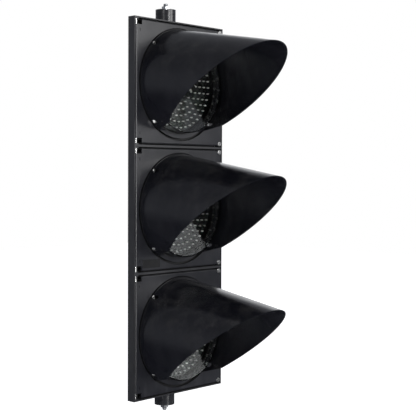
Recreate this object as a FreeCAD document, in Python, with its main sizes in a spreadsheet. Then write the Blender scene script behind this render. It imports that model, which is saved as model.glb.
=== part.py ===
import FreeCAD, Part
import Sketcher
import math
import os

# Three-section traffic signal head, millimetres, +Z up, front facing -Y.
# The origin is the centre of the lower collar's toothed end, on the mounting axis.
# Every sub-part of a section is drawn about that section's lens axis, with the
# door's front face in the plane Y = 0 and depth growing along +Y.

doc = FreeCAD.newDocument("TrafficSignalHead")
dims = doc.addObject("Spreadsheet::Sheet", "dims")
sizes = {
    # housing
    "pitch": 270.0, "width": 270.0, "bandDepth": 20.0, "bodyDepth": 80.0, "backHalf": 75.0,
    "rimWall": 2.0, "shellWall": 2.8, "endWall": 2.5, "ribHeight": 4.5, "axisDepth": 47.0,
    "ledgeFront": 12.5, "ledgeBack": 15.0, "ledgeOpening": 117.5,
    # door
    "doorHalf": 129.5, "doorRight": 132.0, "doorPlate": 3.2, "skirtDepth": 10.0, "skirtWall": 2.5,
    "doorEdge": 2.0, "hingeX": 127.7, "hingeDepth": 4.5, "barrelRadius": 4.5,
    "notchWidth": 18.0, "notchHeight": 11.0, "pinRadius": 2.5, "pinHole": 2.56, "pinReach": 18.0,
    "ribInner": 118.6, "ribOuter": 122.6, "sealThick": 2.2,
    # lens seat and groove for the visor foot
    "lensHole": 106.5, "seatRadius": 124.6, "seatDepth": 8.2, "seatStep": 1.0, "seatBack": 9.9,
    "grooveIn": 116.6, "grooveOut": 122.4, "grooveDepth": 8.4,
    # visor
    "visorBase": 119.8, "visorTip": 103.0, "visorReach": 271.5, "visorDroop": 29.7, "visorWall": 2.6,
    "flangeIn": 109.8, "flangeOut": 120.4, "flangeThick": 3.0, "footIn": 117.1, "footOut": 120.1,
    "footDepth": 5.4, "visorEnd": 102.0, "elbowReach": 49.0, "elbowDrop": 86.0, "elbowRadius": 16.0,
    "ringReach": 31.0, "ringRadius": 5.0, "ringHole": 2.5, "ringProud": 1.3,
    # screws that hold the visor
    "screwOffset": 83.0, "screwHead": 3.75, "screwHeadHigh": 2.6, "screwShank": 2.0, "screwHole": 2.1,
    "screwLength": 10.0, "screwBoss": 4.6, "screwAccess": 6.2, "screwAccessReach": 13.0,
    # lens cover
    "lensRadius": 105.2, "lensWall": 2.6, "lensProud": 24.0, "lensDome": 3.2, "lensFlange": 112.0,
    "lensFlangeFront": 10.4, "lensFlangeBack": 13.3, "lensRound": 3.0,
    # light unit behind the lens
    "boardRadius": 99.0, "boardFront": 9.0, "boardThick": 1.6, "caseFront": 13.5, "caseFlange": 2.5,
    "caseRadius": 97.0, "caseBackRadius": 78.0, "caseDepth": 46.0, "caseWall": 2.5,
    "earX": 59.0, "earZ": 102.2, "earRadius": 7.5, "driverWide": 92.0, "driverHigh": 62.0,
    "driverFront": 30.0, "driverPostX": 38.0, "driverPostZ": 24.0,
    # latch screws
    "latchX": 126.5, "latchZ": 125.5, "latchHead": 5.2, "latchRecess": 6.2, "latchRecessDepth": 1.7,
    "latchShank": 2.8, "latchHole": 2.86, "camFront": 16.1, "camBack": 18.9, "camReach": 6.3,
    "latchSlotIn": 123.1, "latchSlotOut": 130.3, "keeperThick": 0.8,
    # mounting collars and studs
    "collarRadius": 22.25, "collarHigh": 32.0, "toothHigh": 2.5, "collarBore": 5.4, "teeth": 36,
    "studRadius": 5.0, "studProud": 13.5, "studInside": 26.0, "nutWidth": 17.0, "nutHigh": 8.0,
    "washerRadius": 9.0, "washerThick": 2.0, "plateThick": 4.0, "plateWide": 64.0,
    # wiring
    "glandRadius": 10.0, "glandBore": 4.5, "glandDrop": 345.0,
    "terminalWide": 74.0, "terminalHigh": 18.0, "terminalDeep": 17.0, "terminalDrop": 313.0,
    "labelWide": 50.0, "labelHigh": 18.0, "labelThick": 0.5,
}
for row, (alias, value) in enumerate(sizes.items(), 1):
    dims.set("A%d" % row, alias)
    dims.set("B%d" % row, str(value))
    dims.setAlias("B%d" % row, alias)
doc.recompute()

sections = {"top": 1, "middle": 0, "bottom": -1}
corners = [(-1, 1), (-1, -1), (1, -1), (1, 1)]
subParts = []


def size(expression):
    """Value in millimetres of an expression over the sheet."""
    return float(probe.evalExpression(str(expression)))


probe = doc.addObject("App::FeaturePython", "probe")


def place(thing, section=None):
    """Move a sub-part from its section's frame, or the housing's, to the row frame."""
    thing.setExpression("Placement.Base.y", "-dims.axisDepth")
    step = "" if section is None else " + %d * dims.pitch" % sections[section]
    thing.setExpression("Placement.Base.z", "dims.collarHigh + 1.5 * dims.pitch" + step)


def newBody(name, section=None):
    body = doc.addObject("PartDesign::Body", name + "Body")
    body.Label = name
    place(body, section)
    subParts.append(body)
    return body


def sketchOn(body, name, role, offset="0"):
    """Sketch on one of the body's own origin planes, moved along that plane's normal."""
    sketch = body.newObject("Sketcher::SketchObject", name)
    plane = next(item for item in body.Origin.OriginFeatures if item.Role == role)
    sketch.AttachmentSupport = [(plane, "")]
    sketch.MapMode = "FlatFace"
    sketch.setExpression("AttachmentOffset.Base.z", str(offset))
    return sketch


def frontSketch(body, name, depth="0"):
    """Sketch parallel to the front: its x is X, its y is Z; depth is how far behind the face."""
    return sketchOn(body, name, "XZ_Plane", "-(%s)" % depth)


def bindPoint(sketch, geometry, end, x, y):
    for kind, expression in (("DistanceX", x), ("DistanceY", y)):
        index = sketch.addConstraint(
            Sketcher.Constraint(kind, -1, 1, geometry, end, size(expression)))
        sketch.setExpression("Constraints[%d]" % index, str(expression))


def polygon(sketch, points):
    """Closed outline; each point is a pair of expressions."""
    first = sketch.GeometryCount
    values = [FreeCAD.Vector(size(x), size(y), 0) for x, y in points]
    count = len(points)
    for i in range(count):
        sketch.addGeometry(Part.LineSegment(values[i], values[(i + 1) % count]))
    for i in range(count):
        following = first + (i + 1) % count
        sketch.addConstraint(Sketcher.Constraint("Coincident", first + i, 2, following, 1))
    for i, (x, y) in enumerate(points):
        bindPoint(sketch, first + i, 1, x, y)


def rectangle(sketch, left, bottom, right, top):
    polygon(sketch, [(left, bottom), (right, bottom), (right, top), (left, top)])


def circle(sketch, x, y, radius):
    centre = FreeCAD.Vector(size(x), size(y), 0)
    index = sketch.addGeometry(Part.Circle(centre, FreeCAD.Vector(0, 0, 1), size(radius)))
    bindPoint(sketch, index, 3, x, y)
    constraint = sketch.addConstraint(Sketcher.Constraint("Radius", index, size(radius)))
    sketch.setExpression("Constraints[%d]" % constraint, str(radius))


def pad(body, sketch, length, deeper=True, both=False):
    """Add material: towards +Y from a front sketch unless deeper is False."""
    feature = body.newObject("PartDesign::Pad", sketch.Name + "Pad")
    feature.Profile = sketch
    feature.setExpression("Length", str(length))
    feature.Reversed = deeper
    feature.Midplane = both
    return feature


def pocket(body, sketch, length, deeper=True, both=False):
    """Remove material: towards +Y from a front sketch unless deeper is False."""
    feature = body.newObject("PartDesign::Pocket", sketch.Name + "Pocket")
    feature.Profile = sketch
    feature.setExpression("Length", str(length))
    feature.Reversed = not deeper
    feature.Midplane = both
    return feature


def spin(body, name, points, cut=False, role="XY_Plane"):
    """Turned shape about Y (role XY_Plane) or Z (role XZ_Plane); points are radius, station."""
    sketch = sketchOn(body, name, role)
    polygon(sketch, points)
    kind = "PartDesign::Groove" if cut else "PartDesign::Revolution"
    feature = body.newObject(kind, name + "Turn")
    feature.Profile = sketch
    feature.ReferenceAxis = (sketch, ["V_Axis"])
    feature.Angle = 360
    return feature


def edgesOf(feature, wanted):
    """Names of the edges whose vertices all satisfy wanted(point)."""
    names = []
    for number, edge in enumerate(feature.Shape.Edges, 1):
        if all(wanted(vertex.Point) for vertex in edge.Vertexes) and wanted(edge.CenterOfMass):
            names.append("Edge%d" % number)
    return names


def circlesAt(feature, station):
    """Names of the edges that lie wholly in the plane Y = station."""
    names = []
    for number, edge in enumerate(feature.Shape.Edges, 1):
        box = edge.BoundBox
        if near(box.YMax, station) and near(box.YMin, station):
            names.append("Edge%d" % number)
    return names


def dress(body, kind, feature, names, amount):
    rounded = body.newObject("PartDesign::" + kind, feature.Name + kind)
    rounded.Base = (feature, names)
    rounded.setExpression("Radius" if kind == "Fillet" else "Size", str(amount))
    return rounded


def near(value, target):
    return abs(value - target) < 0.01


# ---------------------------------------------------------------- housing


def makeHousing():
    body = newBody("housing")
    half = "dims.width / 2"
    outline = sketchOn(body, "housingOutline", "XY_Plane")
    polygon(outline, [
        ("-" + half, "0"), (half, "0"), (half, "dims.bandDepth"), ("dims.backHalf", "dims.bodyDepth"),
        ("-dims.backHalf", "dims.bodyDepth"), ("-" + half, "dims.bandDepth")])
    shell = pad(body, outline, "3 * dims.pitch", deeper=False, both=True)
    doc.recompute()
    backEdges = edgesOf(shell, lambda p: p.y > size("dims.bodyDepth") - 0.1)
    dress(body, "Fillet", shell, backEdges, 6)

    # one space from the open front: the walls follow the outside at an even thickness
    cavity = sketchOn(body, "housingCavity", "XY_Plane")
    inner = "(dims.width / 2 - dims.rimWall)"
    slope = "dims.shellWall * 1.4142"
    floor = "(dims.bodyDepth - dims.shellWall)"
    narrow = "(dims.width / 2 - %s - %s + dims.bandDepth)" % (slope, floor)
    turn = "(dims.bandDepth + dims.rimWall - %s)" % slope
    polygon(cavity, [
        ("-" + inner, "-1"), (inner, "-1"), (inner, turn), (narrow, floor), ("-" + narrow, floor),
        ("-" + inner, turn)])
    pocket(body, cavity, "3 * dims.pitch - 2 * dims.endWall", both=True)

    # two webs across the back stiffen it between the sections
    web = sketchOn(body, "backWeb", "XY_Plane", "0.5 * dims.pitch - 2")
    polygon(web, [
        ("-" + narrow, floor + " - 9"), (narrow, floor + " - 9"), (narrow, floor + " + 1"),
        ("-" + narrow, floor + " + 1")])
    pad(body, web, "4", deeper=False)
    lowWeb = sketchOn(body, "lowBackWeb", "XY_Plane", "-0.5 * dims.pitch - 2")
    polygon(lowWeb, [
        ("-" + narrow, floor + " - 9"), (narrow, floor + " - 9"), (narrow, floor + " + 1"),
        ("-" + narrow, floor + " + 1")])
    pad(body, lowWeb, "4", deeper=False)

    # shallow panels moulded into the back of each section
    panels = frontSketch(body, "backPanels", "dims.bodyDepth - 1.2")
    for place3 in sections.values():
        middle = "(%d * dims.pitch)" % place3
        rectangle(panels, "-dims.backHalf + 16", middle + " - 105", "dims.backHalf - 16",
                  middle + " + 105")
    pocket(body, panels, "5")

    studs = sketchOn(body, "studHoles", "XY_Plane")
    circle(studs, "0", "dims.axisDepth", "dims.collarBore")
    pocket(body, studs, "3 * dims.pitch + 2", both=True)
    gland = frontSketch(body, "glandHole", "dims.bodyDepth - 12")
    circle(gland, "0", "-dims.glandDrop", "dims.glandRadius + 0.1")
    pocket(body, gland, "20")
    return body


def makeFrontFrame():
    """Ledge with a square opening for each door, the ribs between the doors and the pin lugs."""
    body = newBody("front_frame")
    inner = "(dims.width / 2 - dims.rimWall)"
    tall = "(1.5 * dims.pitch - dims.endWall)"
    opening = "dims.ledgeOpening"
    ledge = frontSketch(body, "ledgePlate", "dims.ledgeFront")
    rectangle(ledge, "-" + inner, "-" + tall, inner, tall)
    for place3 in sections.values():
        middle = "(%d * dims.pitch)" % place3
        rectangle(ledge, "-" + opening, middle + " - " + opening, opening, middle + " + " + opening)
    pad(body, ledge, "dims.ledgeBack - dims.ledgeFront")
    ribs = frontSketch(body, "doorRibs")
    for side in (1, -1):
        middle = "(%d * dims.pitch / 2)" % side
        rectangle(ribs, "-" + inner, middle + " - dims.ribHeight / 2", inner,
                  middle + " + dims.ribHeight / 2")
    pad(body, ribs, "dims.ledgeFront + 0.5")

    # slots for the latch cams
    end = "(dims.pitch / 2 - dims.endWall)"
    rib = "(dims.pitch / 2 - dims.ribHeight / 2)"
    slots = frontSketch(body, "latchSlots", "dims.ledgeFront - 1")
    for name, place3 in sections.items():
        for side in (1, -1):
            outermost = place3 == side
            first = "%d * dims.pitch + %d * (dims.latchZ - 3.3)" % (place3, side)
            last = "%d * dims.pitch + %d * %s" % (place3, side, end if outermost else rib)
            low, high = (first, last) if side > 0 else (last, first)
            if outermost:
                low, high = (low, high + " + 1") if side > 0 else (low + " - 1", high)
            rectangle(slots, "dims.latchSlotIn", low, "dims.latchSlotOut", high)
    pocket(body, slots, "dims.ledgeBack - dims.ledgeFront + 2")

    # lugs that hold the hinge pins, above and below each door
    lugs = frontSketch(body, "hingeLugs", "1")
    for name, place3 in sections.items():
        for side in (1, -1):
            edge = end if place3 == side else rib + " + 0.5"
            near3 = "%d * dims.pitch + %d * (dims.doorHalf + 0.4)" % (place3, side)
            far3 = "%d * dims.pitch + %d * (%s)" % (place3, side, edge)
            low, high = (near3, far3) if side > 0 else (far3, near3)
            rectangle(lugs, "-" + inner, low, "-dims.hingeX + 5", high)
    pad(body, lugs, "dims.ledgeFront")
    bores = sketchOn(body, "pinBores", "XY_Plane")
    circle(bores, "-dims.hingeX", "dims.hingeDepth", "dims.pinRadius + 0.02")
    pocket(body, bores, "3 * dims.pitch", both=True)
    return body


# ---------------------------------------------------------------- doors


def makeDoor(section):
    body = newBody(section + "_door", section)
    tag = section + "Door"
    plate = frontSketch(body, tag + "Plate")
    rectangle(plate, "-dims.hingeX", "-dims.doorHalf", "dims.doorRight", "dims.doorHalf")
    slab = pad(body, plate, "dims.doorPlate")
    doc.recompute()
    front = edgesOf(slab, lambda p: near(p.y, 0) and p.x > -size("dims.hingeX") + 0.1)
    front += edgesOf(slab, lambda p: near(p.y, 0) and near(abs(p.z), size("dims.doorHalf")))
    dress(body, "Fillet", slab, sorted(set(front)), "dims.doorEdge")

    barrel = sketchOn(body, tag + "Barrel", "XY_Plane")
    circle(barrel, "-dims.hingeX", "dims.hingeDepth", "dims.barrelRadius")
    pad(body, barrel, "2 * dims.doorHalf", deeper=False, both=True)

    # skirt round the edge, and the inner rib that carries the seal
    skirt = frontSketch(body, tag + "Skirt", "1")
    left = "-dims.hingeX + 4"
    edge = "dims.doorHalf"
    wall = "dims.skirtWall"
    rectangle(skirt, left, "-" + edge, "dims.doorRight", edge)
    rectangle(skirt, left + " + " + wall, "-%s + %s" % (edge, wall), "dims.doorRight - " + wall,
              edge + " - " + wall)
    pad(body, skirt, "dims.skirtDepth - 1")
    rib = frontSketch(body, tag + "Rib", "1")
    rectangle(rib, "-dims.ribOuter", "-dims.ribOuter", "dims.ribOuter", "dims.ribOuter")
    rectangle(rib, "-dims.ribInner", "-dims.ribInner", "dims.ribInner", "dims.ribInner")
    pad(body, rib, "dims.skirtDepth - 1")

    # raised seat round the lens, with the groove that takes the visor's foot
    spin(body, tag + "Seat", [
        ("104", "0.5"), ("dims.seatRadius", "0.5"), ("dims.seatRadius", "dims.seatBack"),
        ("dims.lensFlange + 0.5", "dims.seatBack"), ("dims.lensFlange + 0.5", "dims.seatDepth"),
        ("104", "dims.seatDepth")])
    spin(body, tag + "Hole", [
        ("0", "-5"), ("dims.lensHole", "-5"), ("dims.lensHole", "30"), ("0", "30")], cut=True)
    spin(body, tag + "Groove", [
        ("dims.lensHole - 1", "-1"), ("dims.grooveOut", "-1"), ("dims.grooveOut", "dims.grooveDepth"),
        ("dims.grooveIn", "dims.grooveDepth"), ("dims.grooveIn", "dims.seatStep"),
        ("dims.lensHole - 1", "dims.seatStep")], cut=True)

    bosses = frontSketch(body, tag + "ScrewBosses", "dims.seatStep")
    for x, z in corners:
        circle(bosses, "%d * dims.screwOffset" % x, "%d * dims.screwOffset" % z, "dims.screwBoss")
    pad(body, bosses, "dims.seatDepth + 1")
    holes = frontSketch(body, tag + "ScrewHoles", "0")
    for x, z in corners:
        circle(holes, "%d * dims.screwOffset" % x, "%d * dims.screwOffset" % z,
               "dims.screwShank + 0.02")
    pocket(body, holes, "dims.seatDepth - 0.4")

    # bosses behind, for the screws of the light unit
    posts = frontSketch(body, tag + "Posts", "dims.grooveDepth + 0.6")
    for x, z in corners:
        circle(posts, "%d * dims.earX" % x, "%d * dims.earZ" % z, "5")
    pad(body, posts, "dims.lensFlangeBack - dims.grooveDepth - 0.5")
    flangeRoom = [
        ("100", "dims.seatDepth"), ("dims.lensFlange + 0.5", "dims.seatDepth"),
        ("dims.lensFlange + 0.5", "30"), ("100", "30")]
    spin(body, tag + "FlangeRoom", flangeRoom, cut=True)
    postHoles = frontSketch(body, tag + "PostHoles", "dims.grooveDepth + 0.8")
    for x, z in corners:
        circle(postHoles, "%d * dims.earX" % x, "%d * dims.earZ" % z, "dims.screwShank + 0.02")
    pocket(body, postHoles, "20")

    # hinge notches at the left corners and the blind bores for the pins
    notches = frontSketch(body, tag + "Notches", "-1")
    for side in (1, -1):
        low = "dims.doorHalf - dims.notchHeight" if side > 0 else "-dims.doorHalf - 1"
        high = "dims.doorHalf + 1" if side > 0 else "-dims.doorHalf + dims.notchHeight"
        rectangle(notches, "-dims.width / 2", low, "-dims.width / 2 + 2.8 + dims.notchWidth", high)
    pocket(body, notches, "30")
    for side in (1, -1):
        reach = "dims.doorHalf - dims.notchHeight - dims.pinReach - 1"
        start = reach if side > 0 else "-(%s)" % reach
        bore = sketchOn(body, tag + ("UpperBore" if side > 0 else "LowerBore"), "XY_Plane", start)
        circle(bore, "-dims.hingeX", "dims.hingeDepth", "dims.pinHole")
        pocket(body, bore, "dims.pinReach + 10", deeper=side < 0)

    # round recesses and bores for the latch screws
    latchBosses = frontSketch(body, tag + "LatchBosses", "1")
    for side in (1, -1):
        circle(latchBosses, "dims.latchX", "%d * dims.latchZ" % side, "dims.latchHole + 1.1")
    pad(body, latchBosses, "dims.skirtDepth - 1")
    recess = frontSketch(body, tag + "LatchRecess", "-1")
    for side in (1, -1):
        circle(recess, "dims.latchX", "%d * dims.latchZ" % side, "dims.latchRecess")
    pocket(body, recess, "dims.latchRecessDepth + 1")
    latchHoles = frontSketch(body, tag + "LatchHoles", "-1")
    for side in (1, -1):
        circle(latchHoles, "dims.latchX", "%d * dims.latchZ" % side, "dims.latchHole")
    pocket(body, latchHoles, "40")

    # small drain windows beside the hinge notches
    windows = frontSketch(body, tag + "Windows", "-1")
    for side in (1, -1):
        low = "%d * (dims.doorHalf - dims.notchHeight - 11) - 3" % side
        high = "%d * (dims.doorHalf - dims.notchHeight - 11) + 3" % side
        rectangle(windows, "-dims.hingeX + 7.5", low, "-dims.hingeX + 8.6", high)
    pocket(body, windows, "2.2")
    return body


def makeDoorSeal(section):
    body = newBody(section + "_door_seal", section)
    seal = frontSketch(body, section + "DoorSealRing", "dims.skirtDepth")
    rectangle(seal, "-dims.ribOuter", "-dims.ribOuter", "dims.ribOuter", "dims.ribOuter")
    rectangle(seal, "-dims.ribInner", "-dims.ribInner", "dims.ribInner", "dims.ribInner")
    pad(body, seal, "dims.sealThick")
    return body


# ---------------------------------------------------------------- visor


def partCircle(name, radius, y, z):
    ring = doc.addObject("Part::Circle", name)
    ring.setExpression("Radius", str(radius))
    ring.Placement = FreeCAD.Placement(
        FreeCAD.Vector(0, 0, 0), FreeCAD.Rotation(FreeCAD.Vector(1, 0, 0), 90))
    ring.setExpression("Placement.Base.y", str(y))
    ring.setExpression("Placement.Base.z", str(z))
    return ring


def partCylinder(name, radius, height, x="0", y="0", z="0"):
    """Cylinder along +Y from the point given."""
    rod = doc.addObject("Part::Cylinder", name)
    rod.setExpression("Radius", str(radius))
    rod.setExpression("Height", str(height))
    rod.Placement = FreeCAD.Placement(
        FreeCAD.Vector(0, 0, 0), FreeCAD.Rotation(FreeCAD.Vector(1, 0, 0), -90))
    for axis, value in (("x", x), ("y", y), ("z", z)):
        rod.setExpression("Placement.Base." + axis, str(value))
    return rod


def combine(kind, name, things):
    result = doc.addObject(kind, name)
    result.Refine = False
    if kind == "Part::Cut":
        result.Base, result.Tool = things
    else:
        result.Shapes = things
    return result


def cone(name, thinner, before, after):
    """Leaning cone along the visor, run on before its foot and after its tip."""
    slope = "(dims.visorBase - dims.visorTip) / dims.visorReach"
    lean = "dims.visorDroop / dims.visorReach"
    ends = []
    for word, radius, drop, shift in (("Near", "dims.visorBase", "0", before),
                                      ("Far", "dims.visorTip", "dims.visorDroop", -after)):
        station = "%g" % shift if word == "Near" else "-dims.visorReach + %g" % shift
        ends.append(partCircle(name + word, "%s + %s * %g - %s" % (radius, slope, shift, thinner),
                               station, "%s * %g - %s" % (lean, shift, drop)))
    loft = doc.addObject("Part::Loft", name)
    loft.Sections = ends
    loft.Solid = True
    loft.Ruled = True
    return loft


def makeVisor(section):
    tag = section + "Visor"
    # at each corner a way in to the screw, and a small ring boss on the inside further along
    access = []
    rings = []
    for number, (x, z) in enumerate(corners):
        name = "%s%d" % (tag, number)
        across = [x * math.sqrt(0.5), z * math.sqrt(0.5)]
        fall = size("(dims.visorBase - dims.visorTip + dims.visorDroop * %g) / dims.visorReach"
                    % across[1])
        inside = "dims.visorBase - dims.visorWall - %g * dims.ringReach" % fall
        for word, radius, begin, length in (
                ("Ring", "dims.ringRadius", "(%s - dims.ringProud)" % inside, 3.4),
                ("RingHole", "dims.ringHole", "90", 40)):
            peg = doc.addObject("Part::Cylinder", name + word)
            peg.setExpression("Radius", radius)
            peg.Height = length
            peg.Placement = FreeCAD.Placement(
                FreeCAD.Vector(0, 0, 0),
                FreeCAD.Rotation(FreeCAD.Vector(0, 0, 1), FreeCAD.Vector(across[0], 0, across[1])))
            peg.setExpression("Placement.Base.x", "%s * %g" % (begin, across[0]))
            peg.setExpression("Placement.Base.y", "-dims.ringReach")
            peg.setExpression("Placement.Base.z", "%s * %g" % (begin, across[1]))
            (rings if word == "Ring" else access).append(peg)
        offset = ["%d * dims.screwOffset" % x, "%d * dims.screwOffset" % z]
        access.append(partCylinder(
            name + "Access", "dims.screwAccess", "dims.screwAccessReach",
            offset[0], "-dims.flangeThick - dims.screwAccessReach", offset[1]))
        access.append(partCylinder(
            name + "FootGap", "dims.screwBoss + 0.5", "20", offset[0], "0", offset[1]))
        access.append(partCylinder(
            name + "ScrewHole", "dims.screwHole", "40", offset[0], "-20", offset[1]))
    walls = combine("Part::Cut", tag + "Walls", [
        cone(tag + "Outside", "0", -1.5, 0), cone(tag + "Inside", "dims.visorWall", 20, 20)])

    disc = combine("Part::MultiFuse", tag + "Disc", [
        partCylinder(tag + "Flange", "dims.flangeOut", "dims.flangeThick", y="-dims.flangeThick"),
        partCylinder(tag + "Foot", "dims.footOut", "dims.footDepth + 1", y="-1")])
    hollow = combine("Part::MultiFuse", tag + "Hollow", [
        partCylinder(tag + "FlangeBore", "dims.flangeIn", "40", y="-20"),
        partCylinder(tag + "FootBore", "dims.footIn", "20", y="0")])
    base = combine("Part::Cut", tag + "Base", [disc, hollow])
    whole = combine("Part::MultiFuse", tag + "Whole", [walls, base] + rings)

    # side profile of the opening: straight from the tip to the elbow, then back to the door
    side = doc.addObject("Sketcher::SketchObject", tag + "Opening")
    side.Placement = FreeCAD.Placement(
        FreeCAD.Vector(-200, 0, 0),
        FreeCAD.Rotation(FreeCAD.Vector(0, 1, 0), FreeCAD.Vector(0, 0, 1),
                         FreeCAD.Vector(1, 0, 0), "ZXY"))
    tipTop = "(dims.visorTip - dims.visorDroop)"
    run = "(dims.visorReach - dims.elbowReach)"
    rise = "(%s + dims.elbowDrop) / %s" % (tipTop, run)
    polygon(side, [
        ("-dims.visorReach - 40", "%s + 40 * %s" % (tipTop, rise)),
        ("-dims.elbowReach", "-dims.elbowDrop"), ("20", "-dims.visorEnd - 3"),
        ("20", "-180"), ("-dims.visorReach - 40", "-180")])
    doc.recompute()
    side.fillet(1, 2, size("dims.elbowRadius"))
    doc.recompute()
    cutter = doc.addObject("Part::Extrusion", tag + "Cutter")
    cutter.Base = side
    cutter.DirMode = "Custom"
    cutter.Dir = FreeCAD.Vector(1, 0, 0)
    cutter.LengthFwd = 400
    cutter.Solid = True
    opened = combine("Part::Cut", tag + "Opened", [whole, cutter])
    visor = combine("Part::Cut", section + "VisorShell", [
        opened, combine("Part::MultiFuse", tag + "AccessSet", access)])
    visor.Label = section + "_visor"
    place(visor, section)
    subParts.append(visor)
    return visor


def makeVisorScrews(section):
    body = newBody(section + "_visor_screws", section)
    tag = section + "VisorScrew"
    front = "dims.flangeThick + dims.screwHeadHigh"
    heads = frontSketch(body, tag + "Heads", "-(%s)" % front)
    shanks = frontSketch(body, tag + "Shanks", "-dims.flangeThick - 1")
    slots = frontSketch(body, tag + "Slots", "-(%s) - 1" % front)
    for x, z in corners:
        offset = ["%d * dims.screwOffset" % x, "%d * dims.screwOffset" % z]
        circle(heads, offset[0], offset[1], "dims.screwHead")
        circle(shanks, offset[0], offset[1], "dims.screwShank")
        rectangle(slots, offset[0] + " - 2.1", offset[1] + " - 0.4", offset[0] + " + 2.1",
                  offset[1] + " + 0.4")
    body.AllowCompound = True
    cap = pad(body, heads, "dims.screwHeadHigh")
    doc.recompute()
    dress(body, "Fillet", cap, circlesAt(cap, -size(front)), 1.1)
    pad(body, shanks, "dims.screwLength")
    pocket(body, slots, "2.2")
    return body


# ---------------------------------------------------------------- light unit


def domedOutline(sketch, points, domes):
    """Closed outline in which the sides listed in domes bow forwards from the axis."""
    values = [FreeCAD.Vector(size(x), size(y), 0) for x, y in points]
    count = len(points)
    ends = []
    for i, start in enumerate(values):
        finish = values[(i + 1) % count]
        if i in domes:
            half = max(start.x, finish.x)
            crown = min(start.y, finish.y)
            drop = abs(finish.y - start.y)
            radius = (half ** 2 + drop ** 2) / (2 * drop)
            way = crown + radius - math.sqrt(radius ** 2 - (half / 2) ** 2)
            index = sketch.addGeometry(Part.Arc(start, FreeCAD.Vector(half / 2, way, 0), finish))
        else:
            index = sketch.addGeometry(Part.LineSegment(start, finish))
        kept = (sketch.getPoint(index, 1) - start).Length < 0.001
        ends.append((1, 2) if kept else (2, 1))
    for i in range(count):
        following = (i + 1) % count
        sketch.addConstraint(
            Sketcher.Constraint("Coincident", i, ends[i][1], following, ends[following][0]))
    for i, (x, y) in enumerate(points):
        bindPoint(sketch, i, ends[i][0], x, y)


def makeLens(section):
    body = newBody(section + "_lens", section)
    profile = sketchOn(body, section + "LensProfile", "XY_Plane")
    rim = "dims.lensRadius"
    front = "dims.lensProud"
    crown = "(%s + dims.lensDome)" % front
    wall = "dims.lensWall"
    domedOutline(profile, [
        ("0", "-" + crown), (rim, "-" + front), (rim, "dims.lensFlangeFront"),
        ("dims.lensFlange", "dims.lensFlangeFront"), ("dims.lensFlange", "dims.lensFlangeBack"),
        ("%s - %s" % (rim, wall), "dims.lensFlangeBack"),
        ("%s - %s" % (rim, wall), "-%s + %s" % (front, wall)), ("0", "-%s + %s" % (crown, wall))],
        domes=(0, 6))
    turned = body.newObject("PartDesign::Revolution", section + "LensTurn")
    turned.Profile = profile
    turned.ReferenceAxis = (profile, ["V_Axis"])
    turned.Angle = 360
    doc.recompute()
    dress(body, "Fillet", turned, circlesAt(turned, -size(front)), "dims.lensRound")
    return body


def makeLensSeal(section):
    body = newBody(section + "_lens_seal", section)
    spin(body, section + "LensSeal", [
        ("dims.lensRadius + 0.1", "dims.seatStep + 0.8"), ("dims.lensHole - 0.1", "dims.seatStep + 0.8"),
        ("dims.lensHole - 0.1", "dims.seatDepth + 0.1"), ("dims.lensFlange - 0.5", "dims.seatDepth + 0.1"),
        ("dims.lensFlange - 0.5", "dims.lensFlangeFront - 0.1"),
        ("dims.lensRadius + 0.1", "dims.lensFlangeFront - 0.1")])
    return body


def makeBoard(section):
    body = newBody(section + "_led_board", section)
    board = frontSketch(body, section + "BoardDisc", "dims.boardFront")
    circle(board, "0", "0", "dims.boardRadius")
    for x, z in corners:
        circle(board, "%d * 66" % x, "%d * 66" % z, "1.6")
    pad(body, board, "dims.boardThick")
    return body


def makeCase(section):
    body = newBody(section + "_module_case", section)
    tag = section + "Case"
    back = "dims.caseDepth"
    spin(body, tag + "Shell", [
        ("dims.lensFlange", "dims.caseFront"), ("dims.lensFlange", "dims.caseFront + dims.caseFlange"),
        ("dims.caseRadius", "dims.caseFront + dims.caseFlange"), ("dims.caseBackRadius", back),
        ("0", back), ("0", back + " - dims.caseWall"),
        ("dims.caseBackRadius - dims.caseWall", back + " - dims.caseWall"),
        ("dims.caseRadius - 1.3 * dims.caseWall", "dims.caseFront + dims.caseFlange"),
        ("dims.caseRadius - 1.3 * dims.caseWall", "dims.boardFront + dims.boardThick + 0.1"),
        ("dims.caseRadius", "dims.boardFront + dims.boardThick + 0.1"),
        ("dims.caseRadius", "dims.caseFront")])
    ears = frontSketch(body, tag + "Ears", "dims.caseFront")
    for x, z in corners:
        circle(ears, "%d * dims.earX" % x, "%d * dims.earZ" % z, "dims.earRadius")
    doc.recompute()
    pad(body, ears, "dims.caseFlange")
    bore = [("0", "dims.caseFront - 1"), ("dims.caseRadius - 2", "dims.caseFront - 1"),
            ("dims.caseRadius - 4", "dims.caseFront + dims.caseFlange + 1"),
            ("0", "dims.caseFront + dims.caseFlange + 1")]
    spin(body, tag + "Bore", bore, cut=True)
    holes = frontSketch(body, tag + "EarHoles", "dims.caseFront - 2")
    for x, z in corners:
        circle(holes, "%d * dims.earX" % x, "%d * dims.earZ" % z, "dims.screwHole")
    pocket(body, holes, "8")
    posts = frontSketch(body, tag + "Posts", "dims.driverFront + dims.boardThick + 0.05")
    for x, z in corners:
        circle(posts, "%d * dims.driverPostX" % x, "%d * dims.driverPostZ" % z, "3")
    pad(body, posts, "dims.caseDepth - dims.driverFront - dims.boardThick - 1")
    fins = frontSketch(body, tag + "Fins", "dims.caseDepth - 0.5")
    for step in range(-3, 4):
        rectangle(fins, "%d * 16 - 1.5" % step, "-44", "%d * 16 + 1.5" % step, "44")
    pad(body, fins, "3.5")
    return body


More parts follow.
